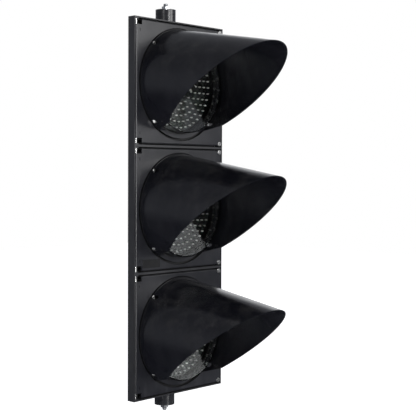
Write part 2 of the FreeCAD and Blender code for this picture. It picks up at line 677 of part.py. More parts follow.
def makeModuleScrews(section):
    body = newBody(section + "_module_screws", section)
    body.AllowCompound = True
    tag = section + "ModuleScrew"
    back = "dims.caseFront + dims.caseFlange"
    heads = frontSketch(body, tag + "Heads", back)
    shanks = frontSketch(body, tag + "Shanks", "dims.grooveDepth + 1")
    for x, z in corners:
        circle(heads, "%d * dims.earX" % x, "%d * dims.earZ" % z, "3.6")
        circle(shanks, "%d * dims.earX" % x, "%d * dims.earZ" % z, "dims.screwShank")
    pad(body, heads, "2.4")
    pad(body, shanks, back + " - dims.grooveDepth - 0.6")
    return body


def makeDriver(section):
    body = newBody(section + "_driver_board", section)
    tag = section + "Driver"
    board = frontSketch(body, tag + "Plate", "dims.driverFront")
    rectangle(board, "-dims.driverWide / 2", "-dims.driverHigh / 2", "dims.driverWide / 2",
              "dims.driverHigh / 2")
    pad(body, board, "dims.boardThick")
    blocks = frontSketch(body, tag + "Blocks", "dims.driverFront - 9")
    rectangle(blocks, "-30", "-14", "-8", "10")
    rectangle(blocks, "6", "8", "24", "20")
    pad(body, blocks, "9.5")
    cans = frontSketch(body, tag + "Cans", "dims.driverFront - 12")
    circle(cans, "8", "-12", "5")
    circle(cans, "22", "-12", "5")
    pad(body, cans, "12.5")
    return body


# ---------------------------------------------------------------- hinges and latches


def makePins(section):
    body = newBody(section + "_hinge_pins", section)
    body.AllowCompound = True
    start = "dims.doorHalf - dims.notchHeight - dims.pinReach"
    length = "dims.notchHeight + dims.pinReach + 2.4"
    upper = sketchOn(body, section + "UpperPin", "XY_Plane", start)
    circle(upper, "-dims.hingeX", "dims.hingeDepth", "dims.pinRadius")
    pad(body, upper, length, deeper=False)
    lower = sketchOn(body, section + "LowerPin", "XY_Plane", "-(%s)" % start)
    circle(lower, "-dims.hingeX", "dims.hingeDepth", "dims.pinRadius")
    pad(body, lower, length, deeper=True)
    return body


def makeLatch(section, side):
    """Quarter-turn latch screw, stored released with its cam pointing outwards."""
    word = "upper" if side > 0 else "lower"
    body = newBody("%s_latch_%s" % (section, word), section)
    tag = section + word.capitalize() + "Latch"
    x = "dims.latchX"
    z = "%d * dims.latchZ" % side
    head = frontSketch(body, tag + "Head", "-0.6")
    circle(head, x, z, "dims.latchHead")
    cap = pad(body, head, "dims.latchRecessDepth + 0.5")
    doc.recompute()
    dress(body, "Fillet", cap, circlesAt(cap, -0.6), 0.8)
    shank = frontSketch(body, tag + "Shank", "0")
    circle(shank, x, z, "dims.latchShank")
    pad(body, shank, "dims.camBack")
    cam = frontSketch(body, tag + "Cam", "dims.camFront")
    tip = "%s + %d * dims.camReach" % (z, side)
    low, high = (z, tip) if side > 0 else (tip, z)
    rectangle(cam, x + " - dims.latchShank + 0.1", low, x + " + dims.latchShank - 0.1", high)
    pad(body, cam, "dims.camBack - dims.camFront")
    slot = frontSketch(body, tag + "Slot", "-1.6")
    rectangle(slot, x + " - 0.7", z + " - 4", x + " + 0.7", z + " + 4")
    pocket(body, slot, "2")
    return body


def makeKeepers():
    body = newBody("latch_keepers")
    body.AllowCompound = True
    plates = frontSketch(body, "keeperPlates", "dims.ledgeBack")
    for place3 in sections.values():
        for side in (1, -1):
            middle = "%d * dims.pitch + %d * dims.latchZ" % (place3, side)
            rectangle(plates, "dims.latchSlotIn - 5", middle + " - 4", "dims.latchSlotIn - 0.2",
                      middle + " + 4")
    pad(body, plates, "dims.keeperThick")
    return body


# ---------------------------------------------------------------- mounting


def endStation(side, offset):
    return "%d * (1.5 * dims.pitch + %s)" % (side, offset)


def makeCollar(side):
    word = "upper" if side > 0 else "lower"
    body = newBody(word + "_collar")
    tag = word + "Collar"
    foot = sketchOn(body, tag + "Disc", "XY_Plane", endStation(side, "0"))
    circle(foot, "0", "dims.axisDepth", "dims.collarRadius")
    circle(foot, "0", "dims.axisDepth", "dims.collarBore")
    tube = pad(body, foot, "dims.collarHigh", deeper=side < 0)
    waist = sketchOn(body, tag + "Waist", "XY_Plane", endStation(side, "dims.collarHigh - 11"))
    circle(waist, "0", "dims.axisDepth", "dims.collarRadius + 3")
    circle(waist, "0", "dims.axisDepth", "dims.collarRadius - 0.8")
    pocket(body, waist, "1.4", deeper=side > 0)
    # the toothed end: one V-shaped cut repeated round the axis
    bench = sketchOn(body, tag + "Well", "XY_Plane",
                     endStation(side, "dims.collarHigh - dims.toothHigh"))
    circle(bench, "0", "dims.axisDepth", "dims.collarRadius - 7")
    pocket(body, bench, "dims.toothHigh + 5", deeper=side < 0)
    tooth = sketchOn(body, tag + "Tooth", "YZ_Plane", "-2 * dims.collarRadius")
    half = "dims.collarRadius * 0.072"
    end = endStation(side, "dims.collarHigh + 0.5")
    root = endStation(side, "dims.collarHigh - dims.toothHigh")
    polygon(tooth, [
        ("dims.axisDepth - " + half, end), ("dims.axisDepth + " + half, end),
        ("dims.axisDepth", root)])
    cut = pocket(body, tooth, "2 * dims.collarRadius", deeper=False)
    axisLine = sketchOn(body, tag + "Axis", "XY_Plane")
    index = axisLine.addGeometry(Part.Point(FreeCAD.Vector(0, size("dims.axisDepth"), 0)), True)
    bindPoint(axisLine, index, 1, "0", "dims.axisDepth")
    around = body.newObject("PartDesign::PolarPattern", tag + "Teeth")
    around.Originals = [cut]
    around.Angle = 360
    around.setExpression("Occurrences", "dims.teeth")
    line = body.newObject("PartDesign::Line", tag + "Line")
    line.Placement = FreeCAD.Placement(
        FreeCAD.Vector(0, size("dims.axisDepth"), 0), FreeCAD.Rotation())
    around.Axis = (line, [""])
    body.Tip = around
    return body


def makeStud(side):
    word = "upper" if side > 0 else "lower"
    body = newBody(word + "_stud")
    rod = sketchOn(body, word + "StudRod", "XY_Plane", endStation(side, "-dims.studInside"))
    circle(rod, "0", "dims.axisDepth", "dims.studRadius")
    bar = pad(body, rod, "dims.studInside + dims.collarHigh + dims.studProud", deeper=side < 0)
    doc.recompute()
    tips = ["Edge%d" % number for number, edge in enumerate(bar.Shape.Edges, 1)
            if edge.BoundBox.ZLength < 0.01]
    dress(body, "Fillet", bar, tips, 1.6)
    return body


def hexagon(sketch, y, width):
    around = "(%s) / 2 / cos(30 deg)" % width
    points = []
    for step in range(6):
        angle = 60 * step + 15
        points.append(("%s * cos(%d deg)" % (around, angle),
                       "%s + %s * sin(%d deg)" % (y, around, angle)))
    polygon(sketch, points)


def makeNuts(side):
    """The outer nut on the washer and the inner nut behind the backing plate."""
    word = "upper" if side > 0 else "lower"
    body = newBody(word + "_nuts")
    body.AllowCompound = True
    seat = "dims.collarHigh - dims.toothHigh + dims.washerThick"
    innerSeat = "-dims.endWall - dims.plateThick - dims.nutHigh"
    for label, start in (("Outer", seat), ("Inner", innerSeat)):
        ring = sketchOn(body, word + label + "Nut", "XY_Plane", endStation(side, start))
        hexagon(ring, "dims.axisDepth", "dims.nutWidth")
        circle(ring, "0", "dims.axisDepth", "dims.studRadius + 0.02")
        pad(body, ring, "dims.nutHigh", deeper=side < 0)
    return body


def makeWasher(side):
    word = "upper" if side > 0 else "lower"
    body = newBody(word + "_washer")
    ring = sketchOn(body, word + "WasherRing", "XY_Plane",
                    endStation(side, "dims.collarHigh - dims.toothHigh"))
    circle(ring, "0", "dims.axisDepth", "dims.washerRadius")
    circle(ring, "0", "dims.axisDepth", "dims.studRadius + 0.3")
    pad(body, ring, "dims.washerThick", deeper=side < 0)
    return body


def makeBackingPlate(side):
    word = "upper" if side > 0 else "lower"
    body = newBody(word + "_backing_plate")
    plate = sketchOn(body, word + "Plate", "XY_Plane",
                     endStation(side, "-dims.endWall - dims.plateThick"))
    wide = "dims.plateWide / 2"
    rectangle(plate, "-" + wide, "dims.axisDepth - 24", wide, "dims.axisDepth + 24")
    circle(plate, "0", "dims.axisDepth", "dims.studRadius + 0.3")
    pad(body, plate, "dims.plateThick", deeper=side < 0)
    return body


# ---------------------------------------------------------------- wiring and label


def makeTerminal():
    body = newBody("terminal_block")
    back = "dims.bodyDepth - dims.shellWall"
    block = frontSketch(body, "terminalBlock", back + " - dims.terminalDeep")
    wide = "dims.terminalWide / 2"
    high = "dims.terminalHigh / 2"
    rectangle(block, "-" + wide, "-dims.terminalDrop - " + high, wide, "-dims.terminalDrop + " + high)
    pad(body, block, "dims.terminalDeep")
    wells = frontSketch(body, "terminalWells", back + " - dims.terminalDeep - 1")
    for step in range(6):
        circle(wells, "(%d - 2.5) * 11.5" % step, "-dims.terminalDrop", "3.2")
    pocket(body, wells, "5")
    return body


def makeGland():
    body = newBody("cable_gland")
    wall = "dims.bodyDepth"
    z = "-dims.glandDrop"
    bushes = (("Thread", wall + " - 10.8", "dims.glandRadius", "18"),
              ("Dome", wall + " + 6", "dims.glandRadius + 1.5", "12"))
    flats = (("Flange", wall + " - 1.2", "26", "8"), ("LockNut", wall + " - 8.8", "26", "6"))
    for label, start, radius, length in bushes:
        ring = frontSketch(body, "gland" + label, start)
        circle(ring, "0", z, radius)
        pad(body, ring, length)
    for label, start, width, length in flats:
        ring = frontSketch(body, "gland" + label, start)
        hexagon(ring, z, width)
        pad(body, ring, length)
    bore = frontSketch(body, "glandBore", wall + " - 20")
    circle(bore, "0", z, "dims.glandBore")
    pocket(body, bore, "50")
    return body


def makeLabel():
    body = newBody("blank_label", "middle")
    plate = frontSketch(body, "labelPlate", "-dims.labelThick")
    rectangle(plate, "-111", "-106 - dims.labelHigh", "-111 + dims.labelWide", "-106")
    pad(body, plate, "dims.labelThick")
    return body


makeHousing()
makeFrontFrame()
for sectionName in sections:
    makeDoor(sectionName)
    makeDoorSeal(sectionName)
    makeVisor(sectionName)
    makeVisorScrews(sectionName)
    makeLens(sectionName)
    makeLensSeal(sectionName)
    makeBoard(sectionName)
    makeCase(sectionName)
    makeModuleScrews(sectionName)
    makeDriver(sectionName)
    makePins(sectionName)
    for side in (1, -1):
        makeLatch(sectionName, side)
makeKeepers()
for side in (1, -1):
    makeCollar(side)
    makeStud(side)
    makeNuts(side)
    makeWasher(side)
    makeBackingPlate(side)
makeTerminal()
makeGland()
makeLabel()
doc.recompute()

faults = []
for item in doc.Objects:
    if "Invalid" in item.State or "Error" in item.State:
        faults.append("%s: %s" % (item.Name, item.State))
for part in subParts:
    if part.Shape.isNull() or not part.Shape.isValid() or not part.Shape.Solids:
        faults.append("%s: no valid solid" % part.Label)
if faults:
    raise RuntimeError("\n".join(faults))

os.makedirs("parts", exist_ok=True)
for part in subParts:
    part.Shape.exportStep("parts/%s.step" % part.Label)
    print("%-24s %2d solids %12.1f mm3" % (part.Label, len(part.Shape.Solids), part.Shape.Volume))
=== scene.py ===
import math

import bpy
from mathutils import Matrix, Vector


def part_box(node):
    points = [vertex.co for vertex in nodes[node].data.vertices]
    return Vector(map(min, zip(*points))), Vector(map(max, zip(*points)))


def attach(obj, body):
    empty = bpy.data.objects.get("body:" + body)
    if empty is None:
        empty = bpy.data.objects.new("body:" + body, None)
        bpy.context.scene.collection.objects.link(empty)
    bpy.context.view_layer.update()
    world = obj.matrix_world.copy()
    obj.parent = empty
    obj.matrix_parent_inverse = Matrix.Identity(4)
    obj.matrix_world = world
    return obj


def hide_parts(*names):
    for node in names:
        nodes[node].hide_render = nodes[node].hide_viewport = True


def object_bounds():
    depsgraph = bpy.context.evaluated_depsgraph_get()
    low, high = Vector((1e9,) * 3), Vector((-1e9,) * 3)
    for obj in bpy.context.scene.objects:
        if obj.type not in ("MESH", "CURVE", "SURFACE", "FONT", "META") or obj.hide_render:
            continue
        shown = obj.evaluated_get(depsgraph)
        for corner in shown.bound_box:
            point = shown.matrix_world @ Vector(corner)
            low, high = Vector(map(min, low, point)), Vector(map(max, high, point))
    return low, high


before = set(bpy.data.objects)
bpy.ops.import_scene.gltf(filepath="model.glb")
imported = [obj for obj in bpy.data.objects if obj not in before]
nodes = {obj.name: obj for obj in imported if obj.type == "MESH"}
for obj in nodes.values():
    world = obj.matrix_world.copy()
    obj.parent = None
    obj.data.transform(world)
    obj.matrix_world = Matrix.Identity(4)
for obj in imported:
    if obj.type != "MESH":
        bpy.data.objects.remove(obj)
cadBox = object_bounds()
sections = ("top", "middle", "bottom")
mm = 0.001


# small helpers for materials

def newMaterial(name):
    material = bpy.data.materials.new(name)
    material.use_nodes = True
    tree = material.node_tree
    tree.nodes.clear()
    shader = tree.nodes.new("ShaderNodeBsdfPrincipled")
    output = tree.nodes.new("ShaderNodeOutputMaterial")
    tree.links.new(shader.outputs["BSDF"], output.inputs["Surface"])
    return material, tree, shader


def newGroup(name, inputs, outputs):
    group = bpy.data.node_groups.new(name, "ShaderNodeTree")
    for label, value in inputs:
        socket = group.interface.new_socket(label, in_out="INPUT", socket_type="NodeSocketFloat")
        socket.default_value = value
    for label in outputs:
        group.interface.new_socket(label, in_out="OUTPUT", socket_type="NodeSocketFloat")
    return group, group.nodes.new("NodeGroupInput"), group.nodes.new("NodeGroupOutput")


def objectSpace(tree):
    return tree.nodes.new("ShaderNodeTexCoord").outputs["Object"]


def mathNode(tree, operation, first, second=None, clamp=False):
    node = tree.nodes.new("ShaderNodeMath")
    node.operation = operation
    node.use_clamp = clamp
    for socket, value in zip(node.inputs, (first, second)):
        if isinstance(value, (int, float)):
            socket.default_value = value
        elif value is not None:
            tree.links.new(value, socket)
    return node.outputs[0]


def rampNode(tree, value, low, high, start=0.0, end=1.0):
    node = tree.nodes.new("ShaderNodeMapRange")
    node.interpolation_type = "SMOOTHSTEP"
    tree.links.new(value, node.inputs["Value"])
    for label, number in (("From Min", low), ("From Max", high), ("To Min", start), ("To Max", end)):
        node.inputs[label].default_value = number
    return node.outputs["Result"]


def noiseNode(tree, vector, scale, detail=3.0, roughness=0.55):
    node = tree.nodes.new("ShaderNodeTexNoise")
    node.inputs["Detail"].default_value = detail
    node.inputs["Roughness"].default_value = roughness
    tree.links.new(vector, node.inputs["Vector"])
    if isinstance(scale, (int, float)):
        node.inputs["Scale"].default_value = scale
    else:
        tree.links.new(scale, node.inputs["Scale"])
    return node.outputs["Fac"]


def stretched(tree, vector, factors):
    node = tree.nodes.new("ShaderNodeMapping")
    node.inputs["Scale"].default_value = factors
    tree.links.new(vector, node.inputs["Vector"])
    return node.outputs["Vector"]


def mixColour(tree, factor, first, second):
    node = tree.nodes.new("ShaderNodeMix")
    node.data_type = "RGBA"
    sockets = [node.inputs[0], node.inputs[6], node.inputs[7]]  # factor and the two colours
    for socket, value in zip(sockets, (factor, first, second)):
        if isinstance(value, (int, float)):
            socket.default_value = value
        elif isinstance(value, (tuple, list)):
            socket.default_value = (*value[:3], 1.0)
        else:
            tree.links.new(value, socket)
    return node.outputs[2]


def place(tree, group, values):
    node = tree.nodes.new("ShaderNodeGroup")
    node.node_tree = group
    for label, value in values.items():
        node.inputs[label].default_value = value
    return node


def addBump(tree, shader, height, depth):
    bump = tree.nodes.new("ShaderNodeBump")
    bump.inputs["Distance"].default_value = depth
    tree.links.new(height, bump.inputs["Height"])
    tree.links.new(bump.outputs["Normal"], shader.inputs["Normal"])


# shared effects, each a node group with its own settings above it

mouldLook = {"grainDetail": 2.0, "waveDetail": 1.0, "waveStretch": (1.0, 1.0, 0.55),
             "patchScale": 22.0, "patchDetail": 5.0, "patchRough": 0.62,
             "patchStretch": (1.0, 1.0, 0.4), "patch": (0.35, 0.7)}


def buildMouldSkin():
    # the fine texture a mould leaves, and the slow unevenness of a large flat moulding
    look = mouldLook
    group, given, result = newGroup(
        "mouldSkin", [("Grain Scale", 900.0), ("Grain", 1.0), ("Wave Scale", 9.0), ("Wave", 1.0)],
        ["Height", "Patch"])
    where = objectSpace(group)
    grain = noiseNode(group, where, given.outputs["Grain Scale"], look["grainDetail"])
    wave = noiseNode(group, stretched(group, where, look["waveStretch"]),
                     given.outputs["Wave Scale"], look["waveDetail"])
    fine = mathNode(group, "MULTIPLY", mathNode(group, "SUBTRACT", grain, 0.5), given.outputs["Grain"])
    slow = mathNode(group, "MULTIPLY", mathNode(group, "SUBTRACT", wave, 0.5), given.outputs["Wave"])
    group.links.new(mathNode(group, "ADD", fine, slow), result.inputs["Height"])
    patch = noiseNode(group, stretched(group, where, look["patchStretch"]),
                      look["patchScale"], look["patchDetail"], look["patchRough"])
    group.links.new(rampNode(group, patch, *look["patch"]), result.inputs["Patch"])
    return group


dustLook = {"facing": (-0.2, 0.95), "least": 0.12, "cloudScale": 30.0, "cloudDetail": 6.0,
            "cloudRough": 0.7, "cloud": (0.42, 0.75), "cloudShare": 0.6, "speck": (0.66, 0.74)}


def buildSettledDust():
    # pale dust, thicker where a surface faces up
    look = dustLook
    group, given, result = newGroup("settledDust", [("Amount", 0.3), ("Speck Scale", 900.0)], ["Mask"])
    geometry = group.nodes.new("ShaderNodeNewGeometry")
    split = group.nodes.new("ShaderNodeSeparateXYZ")
    group.links.new(geometry.outputs["Normal"], split.inputs[0])
    facing = rampNode(group, split.outputs["Z"], *look["facing"], look["least"], 1.0)
    where = objectSpace(group)
    clouds = noiseNode(group, where, look["cloudScale"], look["cloudDetail"], look["cloudRough"])
    cloud = rampNode(group, clouds, *look["cloud"])
    speck = rampNode(group, noiseNode(group, where, given.outputs["Speck Scale"], 1.0), *look["speck"])
    both = mathNode(group, "ADD", mathNode(group, "MULTIPLY", cloud, look["cloudShare"]), speck)
    spread = mathNode(group, "MULTIPLY", both, facing)
    group.links.new(mathNode(group, "MULTIPLY", spread, given.outputs["Amount"], clamp=True),
                    result.inputs["Mask"])
    return group


markLook = {"stretch": (1.0, 1.0, 0.12), "streakDetail": 5.0, "streakRough": 0.7,
            "streak": (0.55, 0.8), "streakShare": 0.7, "hair": (0.992, 1.0),
            "gateScale": 17.0, "gateDetail": 2.0, "gate": (0.55, 0.7)}
hairlines = {"Scale": 14.0, "Distortion": 9.0, "Detail": 3.0, "Detail Scale": 1.4}


def buildHandlingMarks():
    # faint rubbed streaks and a few hairline scratches
    look = markLook
    group, given, result = newGroup("handlingMarks", [("Amount", 0.3), ("Scale", 60.0)], ["Mask"])
    where = objectSpace(group)
    rubbed = noiseNode(group, stretched(group, where, look["stretch"]), given.outputs["Scale"],
                       look["streakDetail"], look["streakRough"])
    streak = rampNode(group, rubbed, *look["streak"])
    lines = group.nodes.new("ShaderNodeTexWave")
    lines.wave_type = "BANDS"
    lines.bands_direction = "DIAGONAL"
    for label, value in hairlines.items():
        lines.inputs[label].default_value = value
    group.links.new(where, lines.inputs["Vector"])
    hair = rampNode(group, lines.outputs["Fac"], *look["hair"])
    gate = rampNode(group, noiseNode(group, where, look["gateScale"], look["gateDetail"]), *look["gate"])
    hair = mathNode(group, "MULTIPLY", hair, gate)
    both = mathNode(group, "ADD", mathNode(group, "MULTIPLY", streak, look["streakShare"]), hair)
    group.links.new(mathNode(group, "MULTIPLY", both, given.outputs["Amount"], clamp=True),
                    result.inputs["Mask"])
    return group


metalLook = {"lineStretch": (1.0, 1.0, 0.05), "lineDetail": 3.0, "blotchDetail": 4.0,
             "blotchRough": 0.65, "blotch": (0.38, 0.68)}


def buildMetalGrain():
    # drawn or rolled lines in metal, with duller blotches
    look = metalLook
    group, given, result = newGroup("metalGrain", [("Line Scale", 700.0), ("Blotch Scale", 160.0)],
                                    ["Height", "Blotch"])
    where = objectSpace(group)
    lines = noiseNode(group, stretched(group, where, look["lineStretch"]),
                      given.outputs["Line Scale"], look["lineDetail"])
    blotch = noiseNode(group, where, given.outputs["Blotch Scale"],
                       look["blotchDetail"], look["blotchRough"])
    group.links.new(lines, result.inputs["Height"])
    group.links.new(rampNode(group, blotch, *look["blotch"]), result.inputs["Blotch"])
    return group


# painted shade for grooves and tight corners: how far the mask looks, its edges, the near-black painted
# shade colour, and the roughness grooves rise to
creviceLook = {"reach": 0.012, "samples": 8, "open": (0.3, 0.75), "paintedShade": (0.003, 0.003, 0.003),
               "dullest": 0.9}


def buildCreviceShade():
    # 1 on open surfaces, 0 deep in grooves and tight corners, where the plastics get painted shade
    group, given, result = newGroup("creviceShade", [("Reach", creviceLook["reach"])], ["Open"])
    hollow = group.nodes.new("ShaderNodeAmbientOcclusion")
    hollow.samples = creviceLook["samples"]
    group.links.new(given.outputs["Reach"], hollow.inputs["Distance"])
    group.links.new(rampNode(group, hollow.outputs["AO"], *creviceLook["open"]), result.inputs["Open"])
    return group


mouldSkin = buildMouldSkin()
creviceShade = buildCreviceShade()
settledDust = buildSettledDust()
handlingMarks = buildHandlingMarks()
metalGrain = buildMetalGrain()
print("shared effects ready")


# finishes: a table of each kind, and the function that makes a material from a row of it

dustTint = {"plastic": (0.32, 0.31, 0.29), "metal": (0.3, 0.29, 0.27), "clear": (0.7, 0.7, 0.68),
            "board": (0.3, 0.3, 0.28)}
wear = {"marksDull": 0.25, "dustDulls": 0.5}

plasticFinishes = {
    "housingBlack": {
        "colour": (0.0125, 0.0128, 0.0152), "paler": (0.018, 0.0185, 0.0215),
        "rubbed": (0.05, 0.051, 0.055), "roughness": (0.34, 0.46), "specular": 0.5,
        "grainScale": 1500.0, "grain": 1.0, "waveScale": 7.0, "wave": 6.0, "depth": 0.00006,
        "dust": 0.10, "marks": 0.20, "markScale": 45.0},
    "doorGloss": {
        "colour": (0.0060, 0.0063, 0.0088), "paler": (0.0085, 0.0088, 0.0118),
        "rubbed": (0.045, 0.046, 0.052), "roughness": (0.30, 0.42), "specular": 0.5,
        "grainScale": 600.0, "grain": 0.25, "waveScale": 9.0, "wave": 14.0, "depth": 0.00007,
        "dust": 0.10, "marks": 0.22, "markScale": 60.0},
    "visorSatin": {
        "colour": (0.0045, 0.0048, 0.0070), "paler": (0.0065, 0.0068, 0.0095),
        "rubbed": (0.03, 0.031, 0.035), "roughness": (0.15, 0.23), "specular": 0.45,
        "grainScale": 1400.0, "grain": 0.3, "waveScale": 8.0, "wave": 5.0, "depth": 0.00005,
        "dust": 0.10, "marks": 0.16, "markScale": 40.0},
    "collarGloss": {
        "colour": (0.0070, 0.0073, 0.0095), "paler": (0.010, 0.0105, 0.013),
        "rubbed": (0.05, 0.051, 0.056), "roughness": (0.22, 0.34), "specular": 0.5,
        "grainScale": 1500.0, "grain": 0.6, "waveScale": 30.0, "wave": 2.0, "depth": 0.00004,
        "dust": 0.15, "marks": 0.3, "markScale": 120.0},
    "glandBlack": {
        "colour": (0.012, 0.012, 0.012), "paler": (0.02, 0.02, 0.02),
        "rubbed": (0.06, 0.06, 0.06), "roughness": (0.42, 0.55), "specular": 0.45,
        "grainScale": 1500.0, "grain": 1.0, "waveScale": 40.0, "wave": 1.0, "depth": 0.00005,
        "dust": 0.2, "marks": 0.2, "markScale": 150.0},
    "caseGrey": {
        "colour": (0.085, 0.088, 0.092), "paler": (0.11, 0.113, 0.118),
        "rubbed": (0.2, 0.2, 0.2), "roughness": (0.42, 0.55), "specular": 0.45,
        "grainScale": 1200.0, "grain": 1.0, "waveScale": 14.0, "wave": 3.0, "depth": 0.00006,
        "dust": 0.12, "marks": 0.2, "markScale": 70.0},
    "rubberBlack": {
        "colour": (0.012, 0.012, 0.012), "paler": (0.022, 0.022, 0.021),
        "rubbed": (0.05, 0.05, 0.048), "roughness": (0.68, 0.85), "specular": 0.35,
        "grainScale": 2200.0, "grain": 1.4, "waveScale": 60.0, "wave": 1.0, "depth": 0.00009,
        "dust": 0.3, "marks": 0.1, "markScale": 150.0},
    "labelBlank": {
        "colour": (0.0040, 0.0042, 0.0050), "paler": (0.0060, 0.0062, 0.0070),
        "rubbed": (0.03, 0.03, 0.03), "roughness": (0.42, 0.55), "specular": 0.22,
        "grainScale": 2500.0, "grain": 0.8, "waveScale": 70.0, "wave": 1.5, "depth": 0.00004,
        "dust": 0.15, "marks": 0.4, "markScale": 200.0},
    "chipBlack": {
        "colour": (0.015, 0.015, 0.016), "paler": (0.022, 0.022, 0.022),
        "rubbed": (0.05, 0.05, 0.05), "roughness": (0.4, 0.55), "specular": 0.45,
        "grainScale": 3000.0, "grain": 1.0, "waveScale": 200.0, "wave": 0.5, "depth": 0.00003,
        "dust": 0.1, "marks": 0.1, "markScale": 300.0},
}


def mouldedPlastic(name, finish):
    material, tree, shader = newMaterial(name)
    skin = place(tree, mouldSkin, {"Grain Scale": finish["grainScale"], "Grain": finish["grain"],
                                   "Wave Scale": finish["waveScale"], "Wave": finish["wave"]})
    dust = place(tree, settledDust, {"Amount": finish["dust"]})
    marks = place(tree, handlingMarks, {"Amount": finish["marks"], "Scale": finish["markScale"]})
    crevice = place(tree, creviceShade, {"Reach": creviceLook["reach"]})
    unshaded = crevice.outputs["Open"]
    plain = mixColour(tree, skin.outputs["Patch"], finish["colour"], finish["paler"])
    rubbed = mixColour(tree, marks.outputs["Mask"], plain, finish["rubbed"])
    dusty = mixColour(tree, dust.outputs["Mask"], rubbed, dustTint["plastic"])
    # painted shade: the base colour is mixed towards near black in grooves and tight corners
    tree.links.new(mixColour(tree, unshaded, creviceLook["paintedShade"], dusty), shader.inputs["Base Color"])
    low, high = finish["roughness"]
    base = rampNode(tree, skin.outputs["Patch"], 0.0, 1.0, low, high)
    more = mathNode(tree, "MULTIPLY", marks.outputs["Mask"], wear["marksDull"])
    dull = mathNode(tree, "MULTIPLY", dust.outputs["Mask"], wear["dustDulls"])
    worn = mathNode(tree, "ADD", base, mathNode(tree, "ADD", more, dull), clamp=True)
    # grooves and tight corners are also made rougher, which dulls their reflections
    creviceRough = rampNode(tree, unshaded, 0.0, 1.0, creviceLook["dullest"], 0.0)
    tree.links.new(mathNode(tree, "MAXIMUM", worn, creviceRough), shader.inputs["Roughness"])
    addBump(tree, shader, skin.outputs["Height"], finish["depth"])
    shader.inputs["Specular IOR Level"].default_value = finish["specular"]
    return material


metalFinishes = {
    "stainless": {
        "metallic": 1.0, "colour": (0.62, 0.62, 0.61), "duller": (0.48, 0.48, 0.47),
        "roughness": (0.2, 0.36), "lineScale": 1500.0, "blotchScale": 400.0, "depth": 0.00002,
        "dust": 0.1},
    "zincPlate": {
        "metallic": 1.0, "colour": (0.60, 0.61, 0.63), "duller": (0.40, 0.41, 0.42),
        "roughness": (0.24, 0.42), "lineScale": 900.0, "blotchScale": 260.0, "depth": 0.00003,
        "dust": 0.2},
    "leadSilver": {
        "metallic": 0.4, "colour": (0.93, 0.93, 0.92), "duller": (0.84, 0.84, 0.83),
        "roughness": (0.38, 0.52), "lineScale": 2500.0, "blotchScale": 900.0, "depth": 0.00001,
        "dust": 0.0},
    "solderTin": {
        "metallic": 1.0, "colour": (0.34, 0.345, 0.35), "duller": (0.24, 0.245, 0.25),
        "roughness": (0.25, 0.4), "lineScale": 2500.0, "blotchScale": 900.0, "depth": 0.00001,
        "dust": 0.05},
}


def plainMetal(name, finish):
    material, tree, shader = newMaterial(name)
    grain = place(tree, metalGrain, {"Line Scale": finish["lineScale"],
                                     "Blotch Scale": finish["blotchScale"]})
    dust = place(tree, settledDust, {"Amount": finish["dust"]})
    blend = mixColour(tree, grain.outputs["Blotch"], finish["colour"], finish["duller"])
    tree.links.new(mixColour(tree, dust.outputs["Mask"], blend, dustTint["metal"]),
                   shader.inputs["Base Color"])
    low, high = finish["roughness"]
    tree.links.new(rampNode(tree, grain.outputs["Blotch"], 0.0, 1.0, low, high),
                   shader.inputs["Roughness"])
    shader.inputs["Metallic"].default_value = finish["metallic"]
    addBump(tree, shader, grain.outputs["Height"], finish["depth"])
    return material


clearFinishes = {
    "lensClear": {
        "colour": (0.93, 0.95, 0.94), "roughness": (0.02, 0.3), "ior": 1.5, "dust": 0.03,
        "grainScale": 300.0, "grain": 0.2, "waveScale": 14.0, "wave": 2.0, "depth": 0.00002},
    "emitterClear": {
        "colour": (0.98, 0.98, 0.98), "roughness": (0.0, 0.2), "ior": 1.12, "dust": 0.0,
        "grainScale": 900.0, "grain": 0.2, "waveScale": 60.0, "wave": 0.5, "depth": 0.00001},
}
clearHazeAt = 0.5  # dust that makes a clear part as dull as it gets


def clearMoulding(name, finish):
    material, tree, shader = newMaterial(name)
    skin = place(tree, mouldSkin, {"Grain Scale": finish["grainScale"], "Grain": finish["grain"],
                                   "Wave Scale": finish["waveScale"], "Wave": finish["wave"]})
    dust = place(tree, settledDust, {"Amount": finish["dust"]})
    tree.links.new(mixColour(tree, dust.outputs["Mask"], finish["colour"], dustTint["clear"]),
                   shader.inputs["Base Color"])
    low, high = finish["roughness"]
    haze = rampNode(tree, dust.outputs["Mask"], 0.0, clearHazeAt, low, high)
    tree.links.new(haze, shader.inputs["Roughness"])
    addBump(tree, shader, skin.outputs["Height"], finish["depth"])
    shader.inputs["Transmission Weight"].default_value = 1.0
    shader.inputs["IOR"].default_value = finish["ior"]
    return material


boardFinish = {
    "mask": (0.0075, 0.009, 0.0085), "maskPale": (0.010, 0.013, 0.012), "track": (0.013, 0.019, 0.016),
    "pad": (0.05, 0.05, 0.045), "roughness": (0.22, 0.34), "trackScale": 130.0, "trackEdge": (0.05, 0.09),
    "trackRise": 0.6, "holeScale": 169.0, "holeEdge": (0.16, 0.12), "grainScale": 1800.0,
    "grain": 0.6, "waveScale": 25.0, "wave": 1.0, "dust": 0.15, "depth": 0.00004}


def cellPattern(tree, feature, scale):
    cells = tree.nodes.new("ShaderNodeTexVoronoi")
    cells.feature = feature
    cells.inputs["Scale"].default_value = scale
    tree.links.new(objectSpace(tree), cells.inputs["Vector"])
    return cells.outputs["Distance"]


